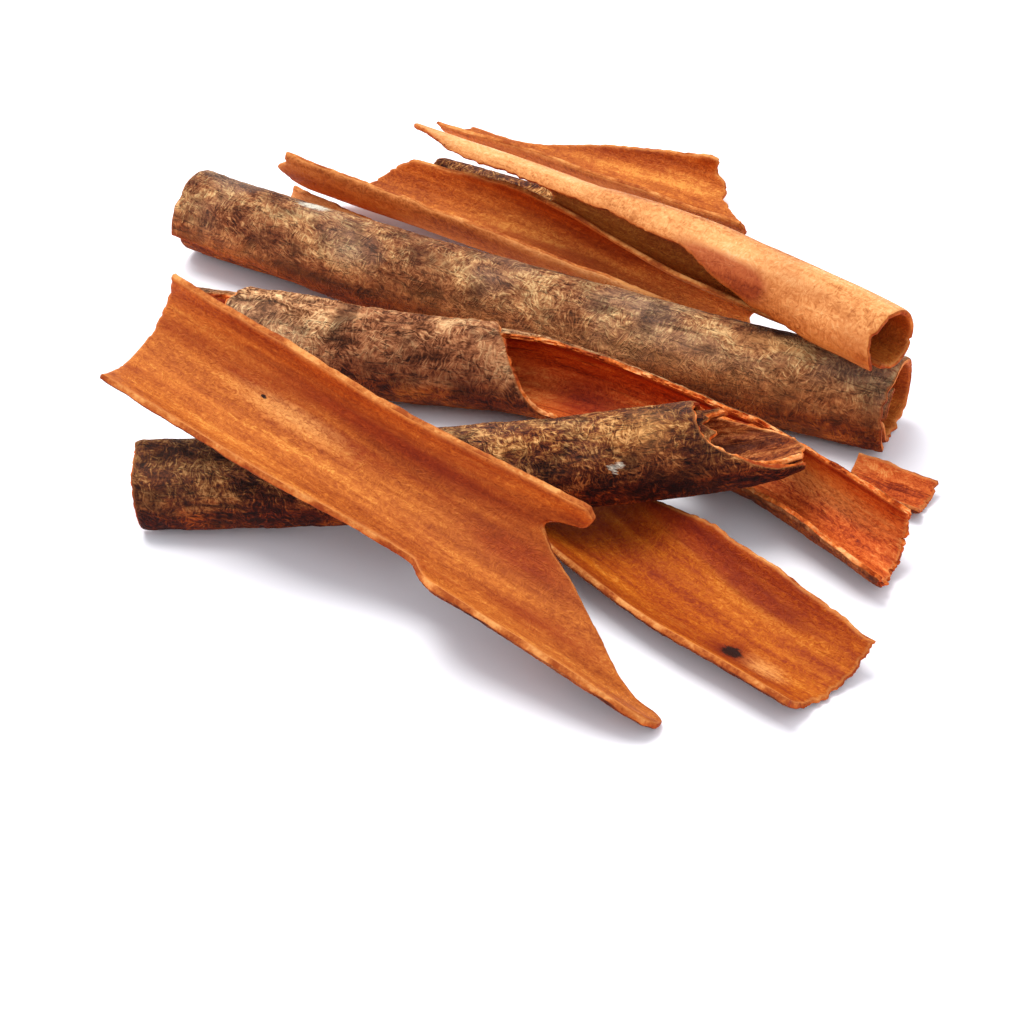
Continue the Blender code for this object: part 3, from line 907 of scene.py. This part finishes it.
# %% Dark quill
dark_quill = Sheet(
    "dark_quill",
    1.8,
    start=(-85.3, -43.7, 8.5),
    end=(60.4, -41.9, 21.5),
    bow=-3.8,
    radius=[(0, 9.7), (0.5, 9.9), (0.88, 9.9), (0.95, 9.1), (1, 7.3)],
    near=30,
    far=590,
    step=2.4,
    step_from=590,
    end_cut=[
        (0, 16), (0.1, 20), (0.2, 18), (0.27, 13), (0.32, 7), (0.357, 2), (0.393, 0.3), (0.437, 0),
        (0.482, 1.5), (0.509, 3.5), (0.541, 8), (0.566, 12.5), (0.593, 18), (0.618, 21.5), (0.66, 23.5),
        (0.739, 24), (0.796, 23), (0.839, 21), (0.862, 18), (0.885, 14.5), (0.906, 11.5), (0.926, 8),
        (0.945, 3.5), (0.965, 1), (1, 0.5),
    ],
    phase=3,
    grid=0.6,
    ragged=([(0, 3), (0.25, 2.5), (0.42, 0.8), (1, 0.7)], 0.3),
    fuzz=0.35,
    marks=(
        ("pale", 105.6, 515, 1.3, 0.9), ("pale", 103.4, 516, 0.7, 0.8), ("pale", 104.4, 524, 0.5, 1.0),
        ("gold", 112, 470, 4, 5), ("red", 123, 515, 4, 12), ("red", 118, 545, 10, 4),
    ),
)
lay_bark(dark_quill, (rough_bark, frayed_bark), (darkest_cork, frayed_layers, frayed_rim))

# %% [markdown]
# The broad trough in front shows its inner face. Its end has a prong, a notch and a long tongue with a
# small hole near the tip. A dark knot with a golden streak lies near the left end.

# %% Front strip
front_strip = Sheet(
    "front_strip",
    2.2,
    start=(-85.0, -33.0, 46.4),
    end=(34.0, -105.8, 18.6),
    bow=-1.5,
    radius=[(0, 15), (0.33, 15.2), (0.67, 16.5), (1, 20)],
    near=[
        (0, 232), (0.3, 234), (0.48, 249), (0.555, 251), (0.6, 231), (0.64, 217), (0.8, 214), (0.92, 217),
        (1, 229),
    ],
    far=[(0, 365), (0.5, 365), (1, 362)],
    end_cut=[
        (0, 2.5), (0.05, 0.3), (0.1, 0), (0.15, 1.5), (0.2, 5.5), (0.26, 9.5), (0.4, 18), (0.6, 32),
        (0.74, 42), (0.79, 43.5), (0.84, 41.5), (0.88, 36), (0.95, 34), (1, 36),
    ],
    phase=4,
    grid=0.5,
    ragged=(0.35, 0.2),
    marks=(
        ("dark", 30.5, 311, 0.9, 0.7), ("gold", 38, 308, 15, 3.5), ("dark", 138.6, 250, 1.1, 1.0),
        ("red", 98, 303, 20, 7), ("red", 60, 335, 45, 4),
    ),
)
lay_bark(front_strip, ROUGH, (dark_cork, orange_inner, clean_rim))

# %% [markdown]
# The right strip is shallower and more golden, and lies on the table. It is stained red along its fold, and
# a branch left a knot hole near its right end. Its left end, under the dark quill, is red-brown with painted
# shade.

# %% Right strip
right_strip = Sheet(
    "right_strip",
    1.9,
    start=(0.6, -32.7, 21.0),
    end=(64.7, -106.3, 17.3),
    end_cut=4.2,
    bow=-4.2,
    ragged=(0.5, 0.35),
    radius=[(0, 20), (1, 16)],
    near=[(0, 240), (0.2, 226), (0.35, 217), (1, 217)],
    far=[(0, 300), (0.2, 312), (0.35, 323), (0.5, 332), (0.65, 333), (1, 325)],
    phase=5,
    grid=0.5,
    marks=(
        ("dark", 73, 252, 2.7, 3.8), ("red", 73, 252, 5.5, 7), ("gold", 80, 256, 6, 4),
        # The red mark 8 mm along is painted shade, where the left end lies under the dark quill.
        ("red", 8, 275, 16, 14), ("red", 30, 318, 22, 4), ("red", 50, 314, 15, 2.6),
        ("red", 68, 307, 13, 2.6),
    ),
)
lay_bark(right_strip, ROUGH, (dark_cork, golden_inner, clean_rim))

# %% [markdown]
# Three pieces at the back have lost their cork, and show tan bark outside as well as inside.

# %% Peeled pieces at the back
back_trough = Sheet(
    "back_trough",
    1.8,
    start=(-60.6, 87.9, 16.0),
    end=(55.9, 16.5, 7.6),
    bow=2.0,
    radius=[(0, 10.4), (0.5, 8.8), (1, 7)],
    near=[(0, 165), (0.5, 168), (1, 165)],
    far=[
        (0, 352), (0.24, 357), (0.33, 368), (0.42, 380), (0.5, 386), (0.6, 382), (0.75, 372), (1, 370),
    ],
    start_cut=[(0, 6), (0.15, 4), (0.4, 10), (0.7, 22), (0.85, 26), (1, 31)],
    end_cut=5,
    phase=6,
)
lay_bark(back_trough, PEELED, (peeled_tan, orange_inner, clean_rim))

top_strip = Sheet(
    "top_strip",
    1.5,
    start=(-29.2, 87.6, 15.4),
    end=(80.8, -21.4, 30.2),
    sway=[(0, 0), (0.33, 2.9), (0.48, 2.6), (0.62, 2.0), (0.75, 2.0), (0.9, 1.4), (1, 0.2)],
    radius=[(0, 2.2), (0.33, 3.3), (0.48, 5.2), (0.62, 6.4), (0.75, 6.2), (1, 6.0)],
    near=-142,
    far=[(0, 150), (0.5, 140), (0.61, 140), (0.69, 165), (0.78, 190), (0.89, 205), (1, 210)],
    step=2.2,
    step_from=-142,
    start_cut=[(0, 48), (0.3, 46), (0.5, 20), (0.62, 2), (0.68, 0), (0.8, 5), (1, 16)],
    phase=7,
    marks=(("red", 103, 139, 9, 1.7), ("red", 112, 149, 8, 2.6), ("red", 119, 158, 5, 3)),
)
lay_bark(top_strip, PEELED, (peeled_tan, orange_inner, clean_rim))

rear_trough = Sheet(
    "rear_trough",
    1.7,
    start=(-23.8, 118.1, 7.4),
    end=(59.7, 66.0, 11.3),
    bow=1.2,
    radius=[(0, 6), (0.5, 8.3), (1, 10.5)],
    near=190,
    far=[(0, 290), (0.25, 297), (0.5, 340), (0.75, 364), (0.9, 385), (1, 398)],
    start_cut=[(0, 5), (0.5, 7), (1, 10)],
    end_cut=[
        (0, 0), (0.1, 0), (0.2, 5), (0.3, 4.5), (0.4, 5.5), (0.5, 11), (0.6, 14), (0.8, 17), (1, 20),
    ],
    phase=8,
)
lay_bark(rear_trough, PEELED, (peeled_tan, orange_inner, clean_rim))

# %% [markdown]
# Three small pieces only peep out: a thin grey-brown stick, a tan strip and a dark chip.

# %% Small pieces
under_quill = Sheet(
    "under_quill",
    1.7,
    start=(-23.0, 88.2, 3.7),
    end=(62.3, 42.7, 3.5),
    radius=4.6,
    near=-40,
    far=220,
    phase=9,
)
# The stick gets the darkest cork as painted shade, for it lies in shade under the top strip.
lay_bark(under_quill, ROUGH, (darkest_cork, orange_inner, corky_rim))

low_strip = Sheet(
    "low_strip",
    1.7,
    start=(-62.9, 76.3, 7.1),
    end=(-35.9, 55.4, 7.0),
    radius=6,
    near=205,
    far=345,
    phase=10,
)
lay_bark(low_strip, PEELED, (peeled_tan, peeled_tan, clean_rim))

right_chip = Sheet(
    "right_chip",
    1.7,
    start=(72.3, -33.2, 8.3),
    end=(88.8, -42.9, 7.9),
    radius=7,
    near=215,
    far=330,
    phase=11,
)
lay_bark(right_chip, ROUGH, (dark_cork, red_inner, corky_rim))

# %% [markdown]
# The table is a plain white board. A matt white floor picks up soft shadows, and stays plain.

# %% Table
TABLE_HALF = 2.5
CORNERS = ((-1, -1), (1, -1), (1, 1), (-1, 1))
table_material = bpy.data.materials.new("white matt lacquered board")
table_material.use_nodes = True
table_shader = table_material.node_tree.nodes["Principled BSDF"]
table_shader.inputs["Base Color"].default_value = linear("#f4f3f7")
table_shader.inputs["Roughness"].default_value = 0.7
table_mesh = bpy.data.meshes.new("table")
table_mesh.from_pydata([(x * TABLE_HALF, y * TABLE_HALF, 0) for x, y in CORNERS], [], [(0, 1, 2, 3)])
table_mesh.materials.append(table_material)
table = bpy.data.objects.new("table", table_mesh)
bpy.context.scene.collection.objects.link(table)
print("table:", 2 * TABLE_HALF, "m square")

# %% [markdown]
# The light is a soft window high above the heap, a little behind it and to the left, with dim white all
# round. So the tops are bright, the near sides fall off quickly, and there are dark gaps where pieces touch.
# The sum is a little more than a white table can show, as in a photo exposed for the dark bark.


# %% Light
def window(name, place, aim, size, power):
    """A square area light at place that faces aim."""
    lamp = bpy.data.lights.new(name, "AREA")
    lamp.size = size
    lamp.energy = power
    obj = bpy.data.objects.new(name, lamp)
    obj.location = place
    direction = np.subtract(aim, place)
    level = math.hypot(direction[0], direction[1])
    obj.rotation_euler = (math.atan2(level, -direction[2]), 0, math.atan2(-direction[0], direction[1]))
    bpy.context.scene.collection.objects.link(obj)


window("window above", place=(-0.25, 0.25, 1.05), aim=(0, 0, 0), size=0.6, power=11.5)
world = bpy.data.worlds.new("white room")
world.use_nodes = True
world.node_tree.nodes["Background"].inputs["Color"].default_value = linear("#f5f6fb")
world.node_tree.nodes["Background"].inputs["Strength"].default_value = 1.12
bpy.context.scene.world = world
print("lamps:", len(bpy.data.lights))

# %% [markdown]
# The camera looks down 40 degrees along +Y, from 569 mm, with a 90 mm lens.

# %% Camera
PITCH = math.radians(40)
DISTANCE = 569
AIM = (-3.4, -43.6, 0)
lens = bpy.data.cameras.new("camera")
lens.lens = 90
lens.sensor_width = 36
camera = bpy.data.objects.new("camera", lens)
back = DISTANCE * math.cos(PITCH)
rise = DISTANCE * math.sin(PITCH)
camera.location = (AIM[0] * MM, (AIM[1] - back) * MM, rise * MM)
camera.rotation_euler = (math.pi / 2 - PITCH, 0, 0)
bpy.context.scene.collection.objects.link(camera)
bpy.context.scene.camera = camera
print("camera at", [round(c, 4) for c in camera.location])

# %% [markdown]
# The plain sRGB view keeps each colour as the materials give it. A filmic curve would grey the orange bark.

# %% View, and the end
bpy.context.scene.view_settings.view_transform = "Standard"
